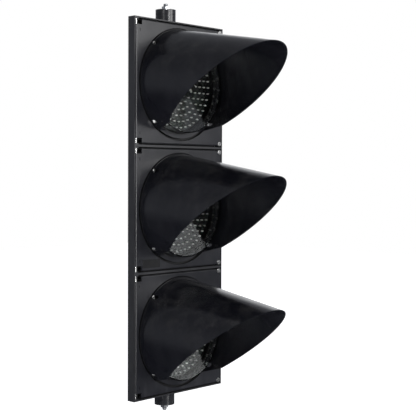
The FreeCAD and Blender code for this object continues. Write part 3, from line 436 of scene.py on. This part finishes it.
def circuitBoard(name, finish):
    material, tree, shader = newMaterial(name)
    edges = cellPattern(tree, "DISTANCE_TO_EDGE", finish["trackScale"])
    track = rampNode(tree, edges, *finish["trackEdge"])
    hole = rampNode(tree, cellPattern(tree, "F1", finish["holeScale"]), *finish["holeEdge"])
    skin = place(tree, mouldSkin, {"Grain Scale": finish["grainScale"], "Grain": finish["grain"],
                                   "Wave Scale": finish["waveScale"], "Wave": finish["wave"]})
    dust = place(tree, settledDust, {"Amount": finish["dust"]})
    mask = mixColour(tree, skin.outputs["Patch"], finish["mask"], finish["maskPale"])
    tracked = mixColour(tree, track, mask, finish["track"])
    padded = mixColour(tree, hole, tracked, finish["pad"])
    tree.links.new(mixColour(tree, dust.outputs["Mask"], padded, dustTint["board"]),
                   shader.inputs["Base Color"])
    low, high = finish["roughness"]
    tree.links.new(rampNode(tree, skin.outputs["Patch"], 0.0, 1.0, low, high),
                   shader.inputs["Roughness"])
    raised = mathNode(tree, "MULTIPLY", track, finish["trackRise"])
    addBump(tree, shader, mathNode(tree, "ADD", raised, skin.outputs["Height"]), finish["depth"])
    return material


finishes = {name: mouldedPlastic(name, finish) for name, finish in plasticFinishes.items()}
finishes.update({name: plainMetal(name, finish) for name, finish in metalFinishes.items()})
finishes.update({name: clearMoulding(name, finish) for name, finish in clearFinishes.items()})
finishes["boardGreen"] = circuitBoard("boardGreen", boardFinish)
print("finishes ready:", len(finishes))


# carried-over parts get their finish by kind

finishOf = {
    "housing": "housingBlack", "front_frame": "housingBlack", "door": "doorGloss",
    "door_seal": "rubberBlack", "visor": "visorSatin", "visor_screws": "stainless",
    "lens": "lensClear", "lens_seal": "rubberBlack", "led_board": "boardGreen",
    "module_case": "caseGrey", "module_screws": "stainless", "driver_board": "boardGreen",
    "hinge_pins": "stainless", "latch_upper": "stainless", "latch_lower": "stainless",
    "latch_keepers": "zincPlate", "collar": "collarGloss", "stud": "zincPlate", "nuts": "zincPlate",
    "washer": "zincPlate", "backing_plate": "zincPlate", "terminal_block": "caseGrey",
    "cable_gland": "glandBlack", "blank_label": "labelBlank",
}
for name, node in nodes.items():
    kind = name
    for prefix in sections + ("upper", "lower"):
        if name.startswith(prefix + "_"):
            kind = name[len(prefix) + 1:]
    node.data.materials.clear()
    node.data.materials.append(finishes[finishOf[kind]])
print("carried-over parts finished:", len(nodes))


# mesh helpers; local shapes are in millimetres

def addPiece(name, verts, faces, body, slotName, finish, smooth=True):
    mesh = bpy.data.meshes.new(name)
    mesh.from_pydata(verts, [], faces)
    mesh.validate()
    mesh.update()
    mesh.materials.append(finishes[finish])
    if smooth:
        mesh.shade_smooth()
    piece = bpy.data.objects.new(name, mesh)
    bpy.context.scene.collection.objects.link(piece)
    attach(piece, body)
    return piece


def turned(profile, segments, closedStart=False):
    # profile of (radius, height) pairs turned about the height axis, as local (a, b, height)
    verts, faces, rings = [], [], []
    for radius, height in profile:
        if radius == 0:
            rings.append([len(verts)])
            verts.append((0.0, 0.0, height))
            continue
        start = len(verts)
        rings.append(list(range(start, start + segments)))
        for i in range(segments):
            angle = 2 * math.pi * i / segments
            verts.append((radius * math.cos(angle), radius * math.sin(angle), height))
    for low, high in zip(rings, rings[1:]):
        for i in range(segments):
            j = (i + 1) % segments
            if len(high) == 1:
                faces.append((low[i], low[j], high[0]))
            else:
                faces.append((low[i], low[j], high[j], high[i]))
    if closedStart:
        faces.append(tuple(reversed(rings[0])))
    return verts, faces


def boxShape(low, high):
    verts = [(x, y, z) for x in (low[0], high[0]) for y in (low[1], high[1]) for z in (low[2], high[2])]
    faces = [(0, 1, 3, 2), (4, 6, 7, 5), (0, 4, 5, 1), (2, 3, 7, 6), (0, 2, 6, 4), (1, 5, 7, 3)]
    return verts, faces


def shifted(shape, a):
    return [(p + a, q, r) for p, q, r in shape[0]], shape[1]


def joined(shapes):
    verts, faces = [], []
    for shape in shapes:
        start = len(verts)
        verts += shape[0]
        faces += [tuple(start + i for i in face) for face in shape[1]]
    return verts, faces


def repeated(shape, spots):
    # copies of one small shape in a single mesh; local height points out of the board, to -Y
    verts, faces = [], []
    for spot in spots:
        start = len(verts)
        for a, b, height in shape[0]:
            verts.append((spot[0] + a * mm, spot[1] - height * mm, spot[2] + b * mm))
        faces += [tuple(start + i for i in face) for face in shape[1]]
    return verts, faces


# light emitters on each board: a clear dome over a bright cup and its post, in rings

emitter = {
    "ringPitch": 13.25, "rings": 7, "perRing": 6, "segments": 12, "cupSegments": 8,
    "dome": [(2.9, 0.0), (2.9, 0.6), (2.5, 0.8), (2.5, 3.4), (2.2, 4.35), (1.45, 5.05), (0.6, 5.35),
             (0.0, 5.4)],
    "cup": [(0.9, 0.05), (1.15, 3.0), (1.3, 4.1), (0.95, 4.1), (0.4, 3.6), (0.0, 3.6)],
    "post": ((-0.75, -1.1, 0.05), (0.75, 1.1, 4.0)), "cupShift": -1.2, "postShift": 1.45}
# the small resistors sit between the rings; each has a tinned end on both sides
chip = {"body": ((-0.9, -0.62, 0.0), (0.9, 0.62, 0.55)),
        "ends": [((-1.35, -0.66, 0.0), (-0.9, 0.66, 0.6)), ((0.9, -0.66, 0.0), (1.35, 0.66, 0.6))]}


def boardPlace(section):
    low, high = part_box(section + "_led_board")
    return (low.x + high.x) / 2, low.y, (low.z + high.z) / 2


def ringSpots(section, rings, shift):
    # shift moves the spots outwards and round, as a part of one step
    x, y, z = boardPlace(section)
    spots = []
    for ring in range(1, rings + 1):
        count = emitter["perRing"] * ring
        for i in range(count):
            angle = 2 * math.pi * (i + shift) / count
            reach = emitter["ringPitch"] * (ring + shift) * mm
            spots.append((x + reach * math.cos(angle), y, z + reach * math.sin(angle)))
    return spots


dome = turned(emitter["dome"], emitter["segments"], closedStart=True)
cup = turned(emitter["cup"], emitter["cupSegments"])
post = boxShape(*emitter["post"])
leads = joined([shifted(cup, emitter["cupShift"]), shifted(post, emitter["postShift"])])
resistor = boxShape(*chip["body"])
tinnedEnds = joined([boxShape(*end) for end in chip["ends"]])
for section in sections:
    body = section + "_door"
    spots = [boardPlace(section)] + ringSpots(section, emitter["rings"], 0.0)
    between = ringSpots(section, emitter["rings"] - 1, 0.5)
    addPiece(section + "_emitter_domes", *repeated(dome, spots), body, "lens_clear", "emitterClear")
    addPiece(section + "_emitter_leads", *repeated(leads, spots), body, "zinc_plate",
             "leadSilver", smooth=False)
    addPiece(section + "_board_resistors", *repeated(resistor, between), body, "board_green",
             "chipBlack", smooth=False)
    addPiece(section + "_board_solder", *repeated(tinnedEnds, between), body, "zinc_plate",
             "solderTin", smooth=False)
print("light emitters placed:", len(spots), "on each board")


# threaded studs and chamfered nuts stand for the plain CAD ones

thread = {"pitch": 1.5, "depth": 0.85, "steps": 24, "perTurn": 8, "steep": 1.35, "rootFlat": 0.12,
          "endCut": 1.1, "endStart": 0.2, "endRun": 1.6, "sharpAngle": 35}
nut = {"flats": 17.0, "tall": 8.0, "holeRadius": 4.6, "chamfer": 0.93, "slope": 0.5,
       "turn": 15, "segments": 72, "sharpAngle": 25}


def threadedRod(low, high):
    radius = (high.x - low.x) / 2 / mm
    length = (high.z - low.z) / mm
    rows = int(length / thread["pitch"] * thread["perTurn"])
    steps = thread["steps"]
    verts, faces = [], []
    for row in range(rows + 1):
        height = length * row / rows
        fade = min(1.0, (min(height, length - height) + thread["endStart"]) / thread["endRun"])
        for i in range(steps):
            angle = 2 * math.pi * i / steps
            phase = (height / thread["pitch"] - i / steps) % 1.0
            ridge = 1.0 - abs(2 * phase - 1)
            crest = min(1.0, max(0.0, thread["steep"] * ridge - thread["rootFlat"]))
            reach = radius - thread["depth"] * (1.0 - crest)
            reach = min(reach, radius - thread["endCut"] * (1 - fade))
            verts.append((reach * math.cos(angle), reach * math.sin(angle), height))
    for row in range(rows):
        a = row * steps
        for i in range(steps):
            j = (i + 1) % steps
            faces.append((a + i, a + j, a + steps + j, a + steps + i))
    faces.append(tuple(reversed(range(steps))))
    faces.append(tuple(range(rows * steps, rows * steps + steps)))
    x, y = (low.x + high.x) / 2, (low.y + high.y) / 2
    return [(x + a * mm, y + b * mm, low.z + c * mm) for a, b, c in verts], faces


def hexRadius(angle, flats):
    wedge = (angle - math.radians(nut["turn"] + 30)) % math.radians(60) - math.radians(30)
    return flats / 2 / math.cos(wedge)


def chamferedNut(x, y, bottom, top):
    # six rings round the nut, up its outside and down through its hole
    height = (top - bottom) / mm
    count = nut["segments"]
    verts, faces = [], []
    rings = ("holeLow", "faceLow", "edgeLow", "edgeHigh", "faceHigh", "holeHigh")
    for ring in rings:
        for i in range(count):
            angle = 2 * math.pi * i / count
            outer = hexRadius(angle, nut["flats"])
            face = nut["flats"] / 2 * nut["chamfer"]
            drop = (outer - face) * nut["slope"]
            radius = {"hole": nut["holeRadius"], "face": face, "edge": outer}[ring[:4]]
            rise = 0.0 if ring.endswith("Low") else height
            if ring == "edgeLow":
                rise = drop
            if ring == "edgeHigh":
                rise = height - drop
            verts.append((x + radius * math.cos(angle) * mm, y + radius * math.sin(angle) * mm,
                          bottom + rise * mm))
    for row in range(len(rings)):
        a = row * count
        b = (row + 1) % len(rings) * count
        for i in range(count):
            j = (i + 1) % count
            faces.append((a + i, a + j, b + j, b + i))
    return verts, faces


for end in ("upper", "lower"):
    low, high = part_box(end + "_stud")
    rod = addPiece(end + "_threaded_stud", *threadedRod(low, high), "housing", "zinc_plate", "zincPlate")
    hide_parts(end + "_stud")
    rod.data.set_sharp_from_angle(angle=math.radians(thread["sharpAngle"]))
    nutLow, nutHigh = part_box(end + "_nuts")
    x, y = (low.x + high.x) / 2, (low.y + high.y) / 2
    tall = nut["tall"] * mm
    shapes = [chamferedNut(x, y, nutLow.z, nutLow.z + tall),
              chamferedNut(x, y, nutHigh.z - tall, nutHigh.z)]
    nuts = addPiece(end + "_hex_nuts", *joined(shapes), "housing", "zinc_plate", "zincPlate")
    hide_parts(end + "_nuts")
    nuts.data.set_sharp_from_angle(angle=math.radians(nut["sharpAngle"]))
print("threads and nuts ready")


# stage: a pale floor that glows a little, so that it stays even

stage = {"drop": 0.45, "reach": 9.0, "white": 0.86, "unevenness": 1.02, "patchScale": 3.0,
         "roughness": 0.9, "glow": 0.95}
plainWhite = (1.0, 1.0, 1.0, 1.0)
plainBlack = (0.0, 0.0, 0.0, 1.0)


def flatSheet(name, corners, paint):
    mesh = bpy.data.meshes.new(name)
    mesh.from_pydata(corners, [], [(0, 1, 2, 3)])
    mesh.materials.append(paint)
    sheet = bpy.data.objects.new(name, mesh)
    bpy.context.scene.collection.objects.link(sheet)
    return sheet


floorPaint, tree, shader = newMaterial("floorPaint")
white = (stage["white"],) * 3
paler = (stage["white"] * stage["unevenness"],) * 3
tree.links.new(mixColour(tree, noiseNode(tree, objectSpace(tree), stage["patchScale"]), white, paler),
               shader.inputs["Base Color"])
shader.inputs["Roughness"].default_value = stage["roughness"]
shader.inputs["Emission Color"].default_value = plainWhite
shader.inputs["Emission Strength"].default_value = stage["glow"]
floorZ = cadBox[0].z - stage["drop"]
span = stage["reach"]
floor = flatSheet("floor", [(-span, -span, floorZ), (span, -span, floorZ), (span, span, floorZ),
                            (-span, span, floorZ)], floorPaint)
floor.visible_glossy = False


# surroundings: cool grey all round, darker below, with a bright band behind; white to the camera

sky = {"side": (0.30, 0.31, 0.34), "low": (0.04, 0.041, 0.045), "top": (0.20, 0.206, 0.226),
       "behind": (1.0, 1.01, 1.04), "lowToSide": (-0.32, 0.06), "sideToTop": (0.25, 0.6),
       "behindX": (0.25, 0.55), "behindY": (0.2, 0.5), "bandFoot": (-0.15, 0.0),
       "bandHead": (0.3, 0.55)}

world = bpy.data.worlds.new("studio")
bpy.context.scene.world = world
world.use_nodes = True
tree = world.node_tree
tree.nodes.clear()
glow = tree.nodes.new("ShaderNodeBackground")
surroundings = tree.nodes.new("ShaderNodeOutputWorld")
tree.links.new(glow.outputs[0], surroundings.inputs[0])
heading = tree.nodes.new("ShaderNodeSeparateXYZ")
tree.links.new(tree.nodes.new("ShaderNodeTexCoord").outputs["Generated"], heading.inputs[0])
headingX, headingY, headingZ = heading.outputs
aroundTint = mixColour(tree, rampNode(tree, headingZ, *sky["lowToSide"]), sky["low"], sky["side"])
aroundTint = mixColour(tree, rampNode(tree, headingZ, *sky["sideToTop"]), aroundTint, sky["top"])
behind = mathNode(tree, "MULTIPLY", rampNode(tree, headingX, *sky["behindX"]),
                  rampNode(tree, headingY, *sky["behindY"]))
band = mathNode(tree, "MULTIPLY", rampNode(tree, headingZ, *sky["bandFoot"]),
                rampNode(tree, headingZ, *sky["bandHead"], 1.0, 0.0))
aroundTint = mixColour(tree, mathNode(tree, "MULTIPLY", behind, band), aroundTint, sky["behind"])
seen = tree.nodes.new("ShaderNodeLightPath").outputs["Is Camera Ray"]
tree.links.new(mixColour(tree, seen, aroundTint, plainWhite), glow.inputs["Color"])


# lamps: a soft strip for the left edge, and one in front

lamps = [
    {"name": "edgeSoft", "place": (-2.2, -0.95, 0.7), "aim": (-0.13, -0.03, 0.5),
     "size": (0.25, 2.0), "power": 13.0},
    {"name": "frontStrip", "place": (-0.15, -2.45, 0.6), "aim": (-0.05, 0.0, 0.5),
     "size": (0.3, 2.0), "power": 38.0},
]
for lamp in lamps:
    light = bpy.data.lights.new(lamp["name"], "AREA")
    light.shape = "RECTANGLE"
    light.size, light.size_y = lamp["size"]
    light.energy = lamp["power"]
    holder = bpy.data.objects.new(lamp["name"], light)
    holder.location = lamp["place"]
    aim = Vector(lamp["aim"]) - holder.location
    holder.rotation_euler = aim.to_track_quat("-Z", "Y").to_euler()
    bpy.context.scene.collection.objects.link(holder)


# a large soft card on the right, brightest in the middle and fading towards its edges

softCard = {"place": (1.04, -2.22, 1.24), "aim": (0.0, 0.0, 0.6), "size": (1.7, 1.5),
            "strength": 6.6, "edge": 0.55}

halfWide, halfTall = (side / 2 for side in softCard["size"])
cardPaint, tree, shader = newMaterial("cardPaint")
split = tree.nodes.new("ShaderNodeSeparateXYZ")
tree.links.new(objectSpace(tree), split.inputs[0])
fades = [rampNode(tree, mathNode(tree, "ABSOLUTE", split.outputs[axis]),
                  half * (1 - softCard["edge"]), half, 1.0, 0.0)
         for axis, half in (("X", halfWide), ("Y", halfTall))]
fade = mathNode(tree, "MULTIPLY", fades[0], fades[1])
tree.links.new(mixColour(tree, fade, plainBlack, plainWhite), shader.inputs["Emission Color"])
shader.inputs["Emission Strength"].default_value = softCard["strength"]
shader.inputs["Base Color"].default_value = plainBlack
card = flatSheet("softCard", [(-halfWide, -halfTall, 0), (halfWide, -halfTall, 0),
                              (halfWide, halfTall, 0), (-halfWide, halfTall, 0)], cardPaint)
card.location = softCard["place"]
card.rotation_euler = (Vector(softCard["aim"]) - card.location).to_track_quat("Z", "Y").to_euler()
card.visible_camera = False


# camera

shot = {"place": (-1.5499, -1.5941, 0.5117), "azimuth": -46.654, "elevation": 1.907, "roll": 0.252,
        "lens": 86.6, "sensor": 36.0, "nearest": 0.05}

azimuth, elevation, roll = (math.radians(shot[turn]) for turn in ("azimuth", "elevation", "roll"))
backwards = Vector((math.sin(azimuth) * math.cos(elevation), -math.cos(azimuth) * math.cos(elevation),
                    math.sin(elevation)))
sideways = Vector((math.cos(azimuth), math.sin(azimuth), 0.0))
upright = backwards.cross(sideways)
across = sideways * math.cos(roll) + upright * math.sin(roll)
upward = upright * math.cos(roll) - sideways * math.sin(roll)
camera = bpy.data.cameras.new("camera")
camera.lens = shot["lens"]
camera.sensor_width = shot["sensor"]
camera.clip_start = shot["nearest"]
cameraHolder = bpy.data.objects.new("camera", camera)
matrix = Matrix((across, upward, backwards)).transposed().to_4x4()
matrix.translation = Vector(shot["place"])
cameraHolder.matrix_world = matrix
bpy.context.scene.collection.objects.link(cameraHolder)
bpy.context.scene.camera = cameraHolder
bpy.context.scene.view_settings.view_transform = "Standard"
print("stage, lights and camera ready")
